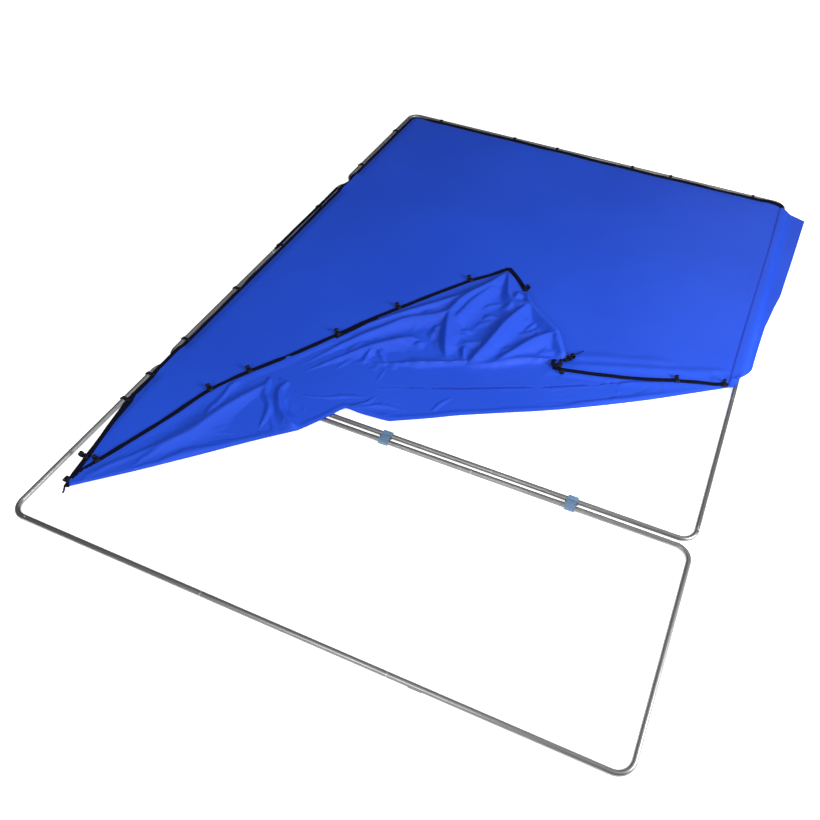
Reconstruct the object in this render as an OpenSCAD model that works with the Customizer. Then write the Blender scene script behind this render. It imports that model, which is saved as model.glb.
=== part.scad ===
// Collapsible studio background: three tube panels, double tube clamps and a stretch cover.
// The background lies on its back. X runs from its top edge to its bottom edge, +Y to its right
// panel, and +Z is its front. Shapes are drawn from the top end of the centre panel's left tube,
// and laid_out() moves them so that the origin is under the middle of the whole object.

/* [Panels] */
// Height of every panel, between tube axes
panel_h = 2875; // [2600:5:3000]
// Width of a side panel, between tube axes
side_w = 1025; // [900:5:1100]
// Width of the centre panel, between tube axes
centre_w = 1860; // [1700:5:2000]
// Distance between the tube axes of neighbouring panels
panel_gap = 40; // [39:1:41]

/* [Tubes] */
// Outside diameter of the tubes
tube_d = 25; // [25:0.5:25.5]
// Wall thickness of the tubes
tube_wall = 1.2; // [1:0.1:1.2]
// Bend radius at the corners, to the tube axis
bend_r = 70; // [60:1:72]
// Distance from a corner to the open end of a bent tube's short leg
leg = 130; // [128:1:150]
// Distance from a corner to the far end of a long bent tube
long_reach = 985; // [900:5:1000]
// Length of the straight tube next to a long bent tube
middle_tube_len = 870; // [800:5:900]
// Place of the joint in the centre panel's short sides, from its left tube
short_side_joint = 1000; // [900:10:1050]
// Length of the swaged neck that plugs into the next tube
spigot_len = 55; // [50:1:56]
// Radial play between a swaged neck and the bore around it
spigot_play = 0.1; // [0.05:0.01:0.15]

/* [Snap buttons] */
// Distance from a corner to its button
button_at = 86; // [84:1:90]
// Diameter of a button
button_d = 7; // [6:0.5:7.5]
// Height that a button stands above its tube
button_proud = 2.5; // [2:0.1:2.8]
// Radial play round a button
button_play = 0.25; // [0.2:0.05:0.4]

/* [Clamps] */
// Places of the three clamps of a joint, from the top tube
clamp_at = [360, 1330, 2300]; // [300:5:2400]
// Length of a clamp along the tubes
clamp_len = 50; // [46:1:54]
// Height of the pivot above the floor
pivot_z = 20; // [20:0.5:20.5]
// Diameter of the pivot pin
pivot_d = 5; // [4:0.5:5]
// Radial play between the pivot pin and its holes
pivot_play = 0.1; // [0.05:0.01:0.1]

/* [Cover] */
// Height of the cover's underside above the floor
cover_z = 30.5; // [30.5:0.5:32]
// Thickness of the cloth
cloth_t = 1.5; // [1:0.1:1.5]
// Room between the cover and the pivot plane
hinge_room = 20; // [19:1:24]
// Greatest height of the folded corner above the floor
crest_z = 92; // [70:1:110]
// Width of the flat hem along the folded corner
hem_w = 12; // [8:1:16]
// Thickness of the elastic hem on the tubes
hem_t = 1.3; // [1:0.1:1.5]
// Places of the hooks along the right panel's outer tube
side_hooks_at = [250, 860, 1200, 1780, 2065, 2655]; // [100:5:2700]
// Distance that the skirt reaches past the bottom tube
skirt_reach = 156; // [120:1:180]

/* [Hidden] */

$fn = 48;
eps = 0.5;
tube_r = tube_d / 2;
bore_r = tube_r - tube_wall;
spigot_r = bore_r - spigot_play;
spigot_bore_r = spigot_r - tube_wall;
axis_z = tube_r;
shoulder = 2;
top_tube_end = panel_h - long_reach - middle_tube_len;

left_y = -side_w - panel_gap;
right_y = centre_w + panel_gap;
outer_y = right_y + side_w;
left_pivot_y = -panel_gap / 2;
right_pivot_y = centre_w + panel_gap / 2;

button_r = button_d / 2;
button_hole_r = button_r + button_play;
button_chamfer = 0.8;
button_foot = 5;
leaf_w = 6;
// Outline of the V spring inside the tube: one leaf out from the button, the other back
leaf_outline = [
    [-5, 6], [20, 4.2], [26, 0], [20, -4.2], [-5, -6],
    [-5, -5.2], [19.5, -3.4], [24.8, 0], [19.5, 3.4], [-5, 5.2]
];

pivot_r = pivot_d / 2;
knuckle_wall = 3.5;
knuckle_r = pivot_r + knuckle_wall;
knuckle_relief_r = knuckle_r + 0.5;
knuckle_half = 7;
knuckle_play = 0.3;
head_r = 6;
head_len = 6;
head_gap = 0.2;
hex_key_r = 2.2;
hex_key_depth = 2.5;
tongue_web = 6;
jaw_bore_r = tube_r + 0.1;
// Side of a clamp jaw, across the tubes from the pivot and up from it
jaw_outline = [[4, -15], [4, -1], [11, 9.5], [34, 9.5], [38, 4], [38, -15]];

hem_r0 = tube_r + 0.4;
hem_r1 = hem_r0 + hem_t;
// The hem covers this angle above and below the tube's outer side
hem_arc = 58;
left_hem_from = -345;
bottom_hem_from = 1020;
hook_r0 = hem_r1 + 0.2;
hook_r1 = hook_r0 + 2.5;
hook_w = 9;
// A hook reaches from below its tube's outer side to beyond the tube's top
hook_low = -42;
hook_high = 100;
ring_r0 = 5;
ring_r1 = 8;
ring_h = 5;
ring_arc = 270;
label_t = 1;
label_arc = 64;
bumper_r = 3;
bumper_gap = 0.05;
left_bumper_at = 1520;
inner_bumper_at = 1432;
label_at = 1985;
label_len = 60;
label_r0 = tube_r + 0.1;
flat_hem_z = cover_z + cloth_t + 0.5;
flat_hem_t = 2.5;
fold_z = flat_hem_z + flat_hem_t + 0.5;
skirt_tip_x = panel_h + skirt_reach;
skirt_from = 1075;
skirt_to = 2842;
// Section of the skirt's upper side, from the bottom tube down to the floor
skirt_fall = [[panel_h + 16, 22], [panel_h + 50, 1], [skirt_tip_x, 1]];
// Plan of the skirt's free edge, as distance past the bottom tube and place along it
skirt_edge = [[0, skirt_from], [26, 1128], [62, 1212], [76, 1600], [118, 1928], [skirt_reach, 2795]];
skirt_corner = [42, skirt_to];

// Middle of the whole object, which the origin goes under
mid_x = (skirt_tip_x - hook_r1) / 2;
mid_y = (outer_y + hook_r1 + left_y - label_r0 - label_t) / 2;

// Plan of the line where the cover turns back over itself, from the top edge to the bottom edge
fold_line_left = [[145, -875], [380, -665], [750, -315], [915, -170], [1000, -40]];
fold_line_centre = [[1035, 0], [1075, 55], [1300, 65], [1610, 250], [2065, 495], [2430, 720], [2875, 1015]];
// Plan of the cover's loose top edge, from the top tube to its near corner
loose_top_edge = [[0, -350], [90, -595], [125, -730]];
// Plan of the hem of the folded corner, from the near top corner to the near bottom corner
flap_hem_left = [[145, -860], [125, -740], [225, -400], [345, -105], [385, -40]];
flap_hem_centre = [[410, 0], [610, 350], [860, 720], [935, 870], [1220, 1255], [1400, 1445]];
// Plan of the hem from the near bottom corner back to the bottom tube
flap_hem_bottom = [[1575, 1295], [1760, 1100], [1885, 1005], [1985, 878]];
flap_hem_band = [[1930, 785], [2180, 812], [2575, 935], [2850, 1012]];
// Loose hooks on the folded hem: place and direction
left_loose_hooks = [[106, -738, 160], [327, -97, 150]];
centre_loose_hooks = [
    [440, 90, 150], [714, 536, 145], [917, 880, 150], [1205, 1267, 140], [1590, 1310, 40],
    [2000, 893, 60], [1963, 937, 40], [1994, 768, -80], [2578, 916, -70]
];
left_hooks_at = [-330, -140];
centre_top_hooks_at = [150, 620, 1080, 1540];
centre_bottom_hooks_at = [1040, 1500];
right_top_hooks_at = [2110, 2637];
right_bottom_hooks_at = [2050, 2500];

// Height of the folded cloth across the left panel, by distance from the pivot line
left_waves = [[-20, 0], [-90, 0], [-200, 22], [-330, 3], [-470, 26], [-620, 2], [-870, 0]];
// Height of the folded cloth across the centre panel, as a share, by distance from the fold line
centre_waves = [
    [-60, 0], [20, 0.1], [130, 0.75], [250, 0.15], [390, 0.95], [520, 0.25], [680, 1], [840, 0.2],
    [980, 0.4], [1120, 0]
];
fold_angle = 28;
fold_start = fold_line_centre[1];
fold_span = 1.5 * panel_h;

module laid_out() {
    translate([-mid_x, -mid_y, 0])
        children();
}

// The half of a panel that mirrors the first by half a turn about the panel's middle
module half_turn(w) {
    translate([panel_h, w, 0])
        rotate(180)
            children();
}

module at_panel(y) {
    laid_out()
        translate([0, y, 0])
            children();
}

module rod_x(x0, x1, y, r) {
    translate([x0, y, axis_z])
        rotate([0, 90, 0])
            cylinder(h = x1 - x0, r = r);
}

module rod_y(y0, y1, x, r) {
    translate([x, y0, axis_z])
        rotate([-90, 0, 0])
            cylinder(h = y1 - y0, r = r);
}

module quarter_bend(x, y, turn, r) {
    translate([x, y, axis_z])
        rotate(turn)
            rotate_extrude(angle = 90)
                translate([bend_r, 0])
                    circle(r = r);
}

module button_hole(x, y) {
    translate([x, y, axis_z])
        cylinder(h = tube_d, r = button_hole_r);
}

// Bent tube with a long leg up the side and a short leg across the bottom, open at both ends
module long_bent_path(r, over) {
    rod_x(panel_h - long_reach - over, panel_h - bend_r, 0, r);
    quarter_bend(panel_h - bend_r, bend_r, -90, r);
    rod_y(bend_r, leg + over, panel_h, r);
}

module long_bent_tube() {
    color("silver")
        difference() {
            long_bent_path(tube_r, 0);
            long_bent_path(bore_r, eps);
            button_hole(panel_h, button_at);
        }
}

// Bent tube that crosses the bottom of a panel w wide, from its spigot to the corner
module short_bent_path(w, from, r, over) {
    rod_y(from, w - bend_r, panel_h, r);
    quarter_bend(panel_h - bend_r, w - bend_r, 0, r);
    rod_x(panel_h - leg - over, panel_h - bend_r, w, r);
}

module short_bent_tube(w, from, has_button) {
    color("silver")
        difference() {
            union() {
                short_bent_path(w, from, tube_r, 0);
                rod_y(from - spigot_len, from, panel_h, spigot_r);
            }
            short_bent_path(w, from + shoulder, bore_r, eps);
            rod_y(from - spigot_len - eps, from + shoulder + eps, panel_h, spigot_bore_r);
            button_hole(panel_h - button_at, w);
            if (has_button)
                button_hole(panel_h, button_at);
        }
}

// Straight tube along X from x0 to x1, with a spigot at its far end and perhaps at its near end
module straight_tube(x0, x1, spigot_both) {
    bore_from = spigot_both ? x0 + shoulder : x0 - eps;
    difference() {
        union() {
            rod_x(x0, x1, 0, tube_r);
            rod_x(x1 - shoulder, x1 + spigot_len, 0, spigot_r);
            if (spigot_both)
                rod_x(x0 - spigot_len, x0 + shoulder, 0, spigot_r);
        }
        rod_x(bore_from, x1 - shoulder, 0, bore_r);
        rod_x(x1 - shoulder - eps, x1 + spigot_len + eps, 0, spigot_bore_r);
        if (spigot_both)
            rod_x(x0 - spigot_len - eps, x0 + shoulder + eps, 0, spigot_bore_r);
        if (spigot_both)
            button_hole(button_at, 0);
    }
}

module middle_tube() {
    color("silver")
        straight_tube(top_tube_end, panel_h - long_reach, false);
}

module end_tube() {
    color("silver")
        straight_tube(leg, top_tube_end, true);
}

// Straight tube across the centre panel's short side, from the long bent tube to the joint at to_y
module cross_tube(to_y) {
    color("silver")
        difference() {
            union() {
                rod_y(leg, to_y, panel_h, tube_r);
                rod_y(leg - spigot_len, leg + shoulder, panel_h, spigot_r);
            }
            rod_y(leg + shoulder, to_y + eps, panel_h, bore_r);
            rod_y(leg - spigot_len - eps, leg + shoulder + eps, panel_h, spigot_bore_r);
            button_hole(panel_h, button_at);
        }
}

// Snap button on its V spring, with the button's axis at the origin and the V along +X
module snap_button() {
    color("gainsboro") {
        translate([0, 0, button_foot])
            cylinder(h = tube_r + button_proud - button_chamfer - button_foot, r = button_r);
        translate([0, 0, tube_r + button_proud - button_chamfer])
            cylinder(h = button_chamfer, r1 = button_r, r2 = button_r - button_chamfer);
        translate([0, leaf_w / 2, 0])
            rotate([90, 0, 0])
                linear_extrude(height = leaf_w)
                    polygon(leaf_outline);
    }
}

module leg_button() {
    translate([panel_h, button_at, axis_z])
        rotate(90)
            snap_button();
}

module side_button() {
    translate([button_at, 0, axis_z])
        snap_button();
}

module pivot_rod(x0, x1, r) {
    translate([x0, 0, 0])
        rotate([0, 90, 0])
            cylinder(h = x1 - x0, r = r);
}

// Block of a clamp jaw, drawn for the jaw on the +Y side with the pivot at the origin
module jaw_body() {
    translate([-clamp_len / 2, 0, 0])
        rotate([90, 0, 90])
            linear_extrude(height = clamp_len)
                polygon(jaw_outline);
}

module jaw_cuts() {
    translate([0, panel_gap / 2, axis_z - pivot_z])
        rotate([0, 90, 0])
            cylinder(h = clamp_len + 2 * eps, r = jaw_bore_r, center = true);
    pivot_rod(-clamp_len, clamp_len, pivot_r + pivot_play);
}

// Jaw with a knuckle at each end
module fork_jaw() {
    difference() {
        union() {
            jaw_body();
            pivot_rod(-clamp_len / 2, -knuckle_half, knuckle_r);
            pivot_rod(knuckle_half, clamp_len / 2, knuckle_r);
        }
        pivot_rod(-knuckle_half, knuckle_half, knuckle_relief_r);
        jaw_cuts();
    }
}

// Jaw with one knuckle in the middle
module tongue_jaw() {
    difference() {
        jaw_body();
        pivot_rod(-clamp_len, clamp_len, knuckle_relief_r);
        jaw_cuts();
    }
    difference() {
        union() {
            pivot_rod(-knuckle_half + knuckle_play, knuckle_half - knuckle_play, knuckle_r);
            translate([-knuckle_half + knuckle_play, jaw_outline[0][0], -tongue_web])
                cube([2 * (knuckle_half - knuckle_play), tongue_web, tongue_web]);
        }
        jaw_cuts();
    }
}

module pivot_screw() {
    pivot_rod(-clamp_len / 2 - eps, clamp_len / 2 + eps, pivot_r);
    difference() {
        pivot_rod(clamp_len / 2 + head_gap, clamp_len / 2 + head_len, head_r);
        pivot_rod(clamp_len / 2 + head_len - hex_key_depth, clamp_len / 2 + head_len + eps, hex_key_r);
    }
    pivot_rod(-clamp_len / 2 - head_len, -clamp_len / 2 - head_gap, head_r);
}

// Each clamp of one joint, with +Y towards the children's jaw side
module at_clamps(y, side) {
    for (x = clamp_at)
        translate([x, y, pivot_z])
            mirror([0, side < 0 ? 1 : 0, 0])
                children();
}

// Part of a ring, from angle a0 to a1 with 0 pointing along +X of the sketch
module ring_sector(r0, r1, a0, a1) {
    reach = 2 * r1;
    difference() {
        intersection() {
            circle(r = r1);
            polygon([[0, 0], for (i = [0:4]) let (a = a0 + (a1 - a0) * i / 4) reach * [cos(a), sin(a)]]);
        }
        circle(r = r0);
    }
}

// Shell round a tube along Y at place x, facing +X or -X
module shell_y(x, y0, y1, facing, r0, r1, low, high) {
    translate([x, y1, axis_z])
        rotate([90, 0, 0])
            linear_extrude(height = y1 - y0)
                mirror([facing < 0 ? 1 : 0, 0])
                    ring_sector(r0, r1, low, high);
}

// Shell round a tube along X at place y, facing +Y or -Y
module shell_x(y, x0, x1, facing, r0, r1, low, high) {
    translate([x0, y, axis_z])
        rotate([90, 0, 90])
            linear_extrude(height = x1 - x0)
                mirror([facing < 0 ? 1 : 0, 0])
                    ring_sector(r0, r1, low, high);
}

module shell_corner(x, y, turn) {
    translate([x, y, axis_z])
        rotate(turn)
            rotate_extrude(angle = 90)
                translate([bend_r, 0])
                    ring_sector(hem_r0, hem_r1, -hem_arc, hem_arc);
}

module hem_y(x, y0, y1, facing) {
    shell_y(x, y0, y1, facing, hem_r0, hem_r1, -hem_arc, hem_arc);
}

module hook_y(x, y, facing) {
    shell_y(x, y - hook_w / 2, y + hook_w / 2, facing, hook_r0, hook_r1, hook_low, hook_high);
}

module hook_x(y, x) {
    shell_x(y, x - hook_w / 2, x + hook_w / 2, 1, hook_r0, hook_r1, hook_low, hook_high);
}

// Hook lying flat beside the folded hem
module loose_hook(at) {
    translate([at[0], at[1], flat_hem_z])
        rotate(at[2] - ring_arc / 2)
            rotate_extrude(angle = ring_arc)
                translate([ring_r0, 0])
                    square([ring_r1 - ring_r0, ring_h]);
}

function reversed(list) = [for (i = [len(list) - 1:-1:0]) list[i]];

// Direction of a plan line at its point i
function heading(points, i) =
    let (ahead = points[min(i + 1, len(points) - 1)] - points[max(i - 1, 0)]) ahead / norm(ahead);

// One side of a band that follows a plan line, offset to its left by distance d
function beside(points, d) = [
    for (i = [0:len(points) - 1]) let (h = heading(points, i)) points[i] + d * [-h[1], h[0]]
];

// Flat strip that follows the points of a plan line
module strip(points, w, z, t) {
    translate([0, 0, z])
        linear_extrude(height = t)
            polygon(concat(beside(points, w / 2), reversed(beside(points, -w / 2))));
}

module sheet_plan(points, z) {
    translate([0, 0, z])
        linear_extrude(height = cloth_t)
            polygon(points);
}

// Thin wavy sheet: tops lists distance and height, and the sheet is span long along X
module wavy_sheet(tops, span) {
    rotate([90, 0, 90])
        linear_extrude(height = span)
            polygon(concat(
                [for (p = tops) [p[0], p[1]]],
                [for (p = reversed(tops)) [p[0], p[1] + cloth_t]]
            ));
}

module skirt_sheet(y0, y1) {
    intersection() {
        translate([0, y1, 0])
            rotate([90, 0, 0])
                linear_extrude(height = y1 - y0)
                    polygon(concat(skirt_fall, [for (p = reversed(skirt_fall)) p + [0, cloth_t]]));
        linear_extrude(height = tube_d)
            polygon(concat(
                [for (p = concat(skirt_edge, [skirt_corner])) [panel_h + p[0], p[1]]],
                [[panel_h, skirt_to]]
            ));
    }
}

module left_outer_bent_tube() {
    at_panel(left_y)
        long_bent_tube();
}

module left_outer_middle_tube() {
    at_panel(left_y)
        middle_tube();
}

module left_outer_top_tube() {
    at_panel(left_y)
        end_tube();
}

module left_top_bent_tube() {
    at_panel(left_y)
        half_turn(side_w)
            short_bent_tube(side_w, leg, true);
}

module left_inner_bent_tube() {
    at_panel(left_y)
        half_turn(side_w)
            long_bent_tube();
}

module left_inner_middle_tube() {
    at_panel(left_y)
        half_turn(side_w)
            middle_tube();
}

module left_inner_bottom_tube() {
    at_panel(left_y)
        half_turn(side_w)
            end_tube();
}

module left_bottom_bent_tube() {
    at_panel(left_y)
        short_bent_tube(side_w, leg, true);
}

module centre_left_bent_tube() {
    at_panel(0)
        long_bent_tube();
}

module centre_left_middle_tube() {
    at_panel(0)
        middle_tube();
}

module centre_left_top_tube() {
    at_panel(0)
        end_tube();
}

module centre_top_bent_tube() {
    at_panel(0)
        half_turn(centre_w)
            short_bent_tube(centre_w, centre_w - short_side_joint, false);
}

module centre_right_bent_tube() {
    at_panel(0)
        half_turn(centre_w)
            long_bent_tube();
}

module centre_right_middle_tube() {
    at_panel(0)
        half_turn(centre_w)
            middle_tube();
}

module centre_right_bottom_tube() {
    at_panel(0)
        half_turn(centre_w)
            end_tube();
}

module centre_bottom_bent_tube() {
    at_panel(0)
        short_bent_tube(centre_w, short_side_joint, false);
}

module centre_top_straight_tube() {
    at_panel(0)
        half_turn(centre_w)
            cross_tube(centre_w - short_side_joint);
}

module centre_bottom_straight_tube() {
    at_panel(0)
        cross_tube(short_side_joint);
}

module right_inner_bent_tube() {
    at_panel(right_y)
        long_bent_tube();
}

module right_inner_middle_tube() {
    at_panel(right_y)
        middle_tube();
}

module right_inner_top_tube() {
    at_panel(right_y)
        end_tube();
}

module right_top_bent_tube() {
    at_panel(right_y)
        half_turn(side_w)
            short_bent_tube(side_w, leg, true);
}

module right_outer_bent_tube() {
    at_panel(right_y)
        half_turn(side_w)
            long_bent_tube();
}

module right_outer_middle_tube() {
    at_panel(right_y)
        half_turn(side_w)
            middle_tube();
}

module right_outer_bottom_tube() {
    at_panel(right_y)
        half_turn(side_w)
            end_tube();
}

module right_bottom_bent_tube() {
    at_panel(right_y)
        short_bent_tube(side_w, leg, true);
}

module left_outer_bottom_button() {
    at_panel(left_y)
        leg_button();
}

module left_outer_top_button() {
    at_panel(left_y)
        side_button();
}

module left_inner_top_button() {
    at_panel(left_y)
        half_turn(side_w)
            leg_button();
}

module left_inner_bottom_button() {
    at_panel(left_y)
        half_turn(side_w)
            side_button();
}

module centre_left_bottom_button() {
    at_panel(0)
        leg_button();
}

module centre_left_top_button() {
    at_panel(0)
        side_button();
}

module centre_right_top_button() {
    at_panel(0)
        half_turn(centre_w)
            leg_button();
}

module centre_right_bottom_button() {
    at_panel(0)
        half_turn(centre_w)
            side_button();
}

module right_inner_bottom_button() {
    at_panel(right_y)
        leg_button();
}

module right_inner_top_button() {
    at_panel(right_y)
        side_button();
}

module right_outer_top_button() {
    at_panel(right_y)
        half_turn(side_w)
            leg_button();
}

module right_outer_bottom_button() {
    at_panel(right_y)
        half_turn(side_w)
            side_button();
}

module centre_clamp_jaws() {
    color("lightsteelblue")
        laid_out() {
            at_clamps(left_pivot_y, 1)
                fork_jaw();
            at_clamps(right_pivot_y, -1)
                fork_jaw();
        }
}

module left_clamp_jaws() {
    color("lightsteelblue")
        laid_out()
            at_clamps(left_pivot_y, -1)
                tongue_jaw();
}

module right_clamp_jaws() {
    color("lightsteelblue")
        laid_out()
            at_clamps(right_pivot_y, 1)
                tongue_jaw();
}

module clamp_pivot_screws() {
    color("black")
        laid_out() {
            at_clamps(left_pivot_y, 1)
                pivot_screw();
            at_clamps(right_pivot_y, 1)
                pivot_screw();
        }
}

module cover_left() {
    color("royalblue")
        laid_out()
            sheet_plan(concat([[0, left_pivot_y - hinge_room]], loose_top_edge, fold_line_left), cover_z);
}

module cover_centre() {
    color("royalblue")
        laid_out()
            sheet_plan(concat(
                [[0, left_pivot_y + hinge_room]], fold_line_centre,
                [[panel_h, right_pivot_y - hinge_room], [0, right_pivot_y - hinge_room]]
            ), cover_z);
}

module cover_right() {
    color("royalblue")
        laid_out()
            sheet_plan([
                [0, right_pivot_y + hinge_room], [panel_h, right_pivot_y + hinge_room],
                [panel_h, outer_y], [0, outer_y]
            ], cover_z);
}

module fold_left() {
    color("mediumblue")
        laid_out()
            intersection() {
                translate([0, left_pivot_y, fold_z])
                    wavy_sheet(left_waves, panel_h);
                linear_extrude(height = crest_z)
                    polygon(concat(flap_hem_left, reversed(fold_line_left)));
            }
}

module fold_centre() {
    color("mediumblue")
        laid_out()
            intersection() {
                translate([fold_start[0], fold_start[1], fold_z])
                    rotate(fold_angle)
                        translate([-panel_h / 2, 0, 0])
                            wavy_sheet(
                                [for (p = centre_waves) [p[0], p[1] * (crest_z - cloth_t - fold_z)]],
                                fold_span
                            );
                linear_extrude(height = crest_z)
                    polygon(concat(
                        flap_hem_centre, flap_hem_bottom, flap_hem_band, reversed(fold_line_centre)
                    ));
            }
}

module skirt_centre() {
    color("royalblue")
        laid_out()
            skirt_sheet(skirt_from, right_pivot_y - hinge_room);
}

module skirt_right() {
    color("royalblue")
        laid_out()
            skirt_sheet(right_pivot_y + hinge_room, skirt_to);
}

module hem_left() {
    color([0.05, 0.05, 0.08])
        laid_out() {
            hem_y(0, left_hem_from, left_pivot_y - panel_gap / 2 - bend_r, -1);
            strip(flap_hem_left, hem_w, flat_hem_z, flat_hem_t);
        }
}

module hem_centre() {
    color([0.05, 0.05, 0.08])
        laid_out() {
            hem_y(0, bend_r, centre_w - bend_r, -1);
            hem_y(panel_h, bottom_hem_from, centre_w - bend_r, 1);
            strip(concat(flap_hem_centre, flap_hem_bottom), hem_w, flat_hem_z, flat_hem_t);
            strip(flap_hem_band, hem_w, flat_hem_z, flat_hem_t);
        }
}

module hem_right() {
    color([0.05, 0.05, 0.08])
        laid_out() {
            hem_y(0, right_y + bend_r, outer_y - bend_r, -1);
            shell_corner(bend_r, outer_y - bend_r, 90);
            shell_x(outer_y, bend_r, panel_h - bend_r, 1, hem_r0, hem_r1, -hem_arc, hem_arc);
            shell_corner(panel_h - bend_r, outer_y - bend_r, 0);
            hem_y(panel_h, right_y + bend_r, outer_y - bend_r, 1);
        }
}

module hooks_left() {
    color("black")
        laid_out() {
            for (y = left_hooks_at)
                hook_y(0, y, -1);
            for (at = left_loose_hooks)
                loose_hook(at);
        }
}

module hooks_centre() {
    color("black")
        laid_out() {
            for (y = centre_top_hooks_at)
                hook_y(0, y, -1);
            for (y = centre_bottom_hooks_at)
                hook_y(panel_h, y, 1);
            for (at = centre_loose_hooks)
                loose_hook(at);
        }
}

module hooks_right() {
    color("black")
        laid_out() {
            for (x = side_hooks_at)
                hook_x(outer_y, x);
            for (y = right_top_hooks_at)
                hook_y(0, y, -1);
            for (y = right_bottom_hooks_at)
                hook_y(panel_h, y, 1);
        }
}

module blank_label() {
    color("dimgray")
        laid_out()
            shell_x(left_y, label_at, label_at + label_len, -1, label_r0, label_r0 + label_t, -label_arc, 0);
}

// Round bumper stuck on the lower left side of the tube at y
module bumper(x, y) {
    difference() {
        translate([x, y, axis_z])
            rotate([135, 0, 0])
                cylinder(h = tube_r + label_t, r = bumper_r);
        rod_x(x - tube_d, x + tube_d, y, tube_r + bumper_gap);
    }
}

module tube_bumpers() {
    color("black")
        laid_out() {
            bumper(left_bumper_at, left_y);
            bumper(inner_bumper_at, left_y + side_w);
        }
}

left_outer_bent_tube();
left_outer_middle_tube();
left_outer_top_tube();
left_top_bent_tube();
left_inner_bent_tube();
left_inner_middle_tube();
left_inner_bottom_tube();
left_bottom_bent_tube();
centre_left_bent_tube();
centre_left_middle_tube();
centre_left_top_tube();
centre_top_bent_tube();
centre_right_bent_tube();
centre_right_middle_tube();
centre_right_bottom_tube();
centre_bottom_bent_tube();
centre_top_straight_tube();
centre_bottom_straight_tube();
right_inner_bent_tube();
right_inner_middle_tube();
right_inner_top_tube();
right_top_bent_tube();
right_outer_bent_tube();
right_outer_middle_tube();
right_outer_bottom_tube();
right_bottom_bent_tube();
left_outer_bottom_button();
left_outer_top_button();
left_inner_top_button();
left_inner_bottom_button();
centre_left_bottom_button();
centre_left_top_button();
centre_right_top_button();
centre_right_bottom_button();
right_inner_bottom_button();
right_inner_top_button();
right_outer_top_button();
right_outer_bottom_button();
centre_clamp_jaws();
left_clamp_jaws();
right_clamp_jaws();
clamp_pivot_screws();
cover_left();
cover_centre();
cover_right();
fold_left();
fold_centre();
skirt_centre();
skirt_right();
hem_left();
hem_centre();
hem_right();
hooks_left();
hooks_centre();
hooks_right();
blank_label();
tube_bumpers();
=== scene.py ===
"""Studio background laid on its back: tube frame from the CAD, stretch cover, elastic hem and hooks."""
import math
import random

import bmesh
import bpy
import numpy as np
from mathutils import Euler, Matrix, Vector, noise
from mathutils.geometry import delaunay_2d_cdt


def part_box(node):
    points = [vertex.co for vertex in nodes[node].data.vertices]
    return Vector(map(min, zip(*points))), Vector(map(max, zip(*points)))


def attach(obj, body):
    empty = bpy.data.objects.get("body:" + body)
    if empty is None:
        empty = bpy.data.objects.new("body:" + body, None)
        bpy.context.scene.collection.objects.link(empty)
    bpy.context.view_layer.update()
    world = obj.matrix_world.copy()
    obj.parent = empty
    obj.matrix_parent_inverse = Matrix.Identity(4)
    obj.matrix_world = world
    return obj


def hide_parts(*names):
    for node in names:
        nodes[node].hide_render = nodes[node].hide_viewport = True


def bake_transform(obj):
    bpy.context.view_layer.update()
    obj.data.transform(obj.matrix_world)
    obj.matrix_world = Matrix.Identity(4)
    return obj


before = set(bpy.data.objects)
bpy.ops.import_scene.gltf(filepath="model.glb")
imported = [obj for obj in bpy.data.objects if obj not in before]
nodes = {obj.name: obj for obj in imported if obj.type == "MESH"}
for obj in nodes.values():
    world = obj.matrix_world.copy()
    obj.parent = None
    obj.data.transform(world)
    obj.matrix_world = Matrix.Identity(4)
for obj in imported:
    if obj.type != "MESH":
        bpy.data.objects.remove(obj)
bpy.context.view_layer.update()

# ---- places, in metres
# Plan coordinates: x from the top tube's axis to the bottom tube's, y from the centre panel's
# left tube, z above the floor. ORIGIN turns them into the row frame.
TUBE_R = (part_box("centre_left_bent_tube")[1].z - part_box("centre_left_bent_tube")[0].z) / 2
ORIGIN = Vector((
    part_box("centre_top_bent_tube")[0].x + TUBE_R,
    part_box("centre_left_bent_tube")[0].y + TUBE_R,
    0,
))
PANEL_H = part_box("centre_bottom_straight_tube")[1].x - TUBE_R - ORIGIN.x
LEFT_INNER_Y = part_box("left_inner_middle_tube")[0].y + TUBE_R - ORIGIN.y
CENTRE_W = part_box("centre_right_middle_tube")[0].y + TUBE_R - ORIGIN.y
RIGHT_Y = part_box("right_inner_middle_tube")[0].y + TUBE_R - ORIGIN.y
OUTER_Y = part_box("right_outer_middle_tube")[0].y + TUBE_R - ORIGIN.y
LEFT_PIVOT_Y = LEFT_INNER_Y / 2
RIGHT_PIVOT_Y = (CENTRE_W + RIGHT_Y) / 2

COVER_Z = 0.0312        # the cover, where it lies over the tubes and the clamps
FLAP_RISE = 0.0065      # from the cover up to the folded corner that lies on it
CLOTH_T = 0.0009
CENTRE_SLACK = 0.007    # how far the cover sags in the middle of the centre panel
SIDE_SLACK = 0.005      # and in the middle of a side panel
TIP_SAG = 0.013         # the loose tip hangs this far below the tubes
HEM_W = 0.026
HEM_T = 0.004
FAR_HEM_SHADE_SPREAD = 0.016      # the black elastic is drawn this much wider along the far tube, partly as painted shade over the shadowed gap between hem and tube
EDGE_IN = TUBE_R + 0.003 + HEM_W   # from a tube's axis to the edge of the cloth
EDGE_DIP = 0.0112       # the cloth's edge drops this far, to lie beside the tube
SEAM_Y = 1.62           # where the cover's two widths are lapped and sewn, past the folded corner
LAP = 0.012
LAP_DROP = 0.0011       # the far width lies this far under the near one at the lap
BEND_REACH = 0.075      # the bent tubes cross under the cover within this distance of a joint


def at(x, y, z):
    """A plan point in the row frame."""
    return Vector((ORIGIN.x + x, ORIGIN.y + y, z))


def metres(rows):
    """The same rows of places, from millimetres."""
    return [tuple(v / 1000 for v in row) for row in rows]


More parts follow.
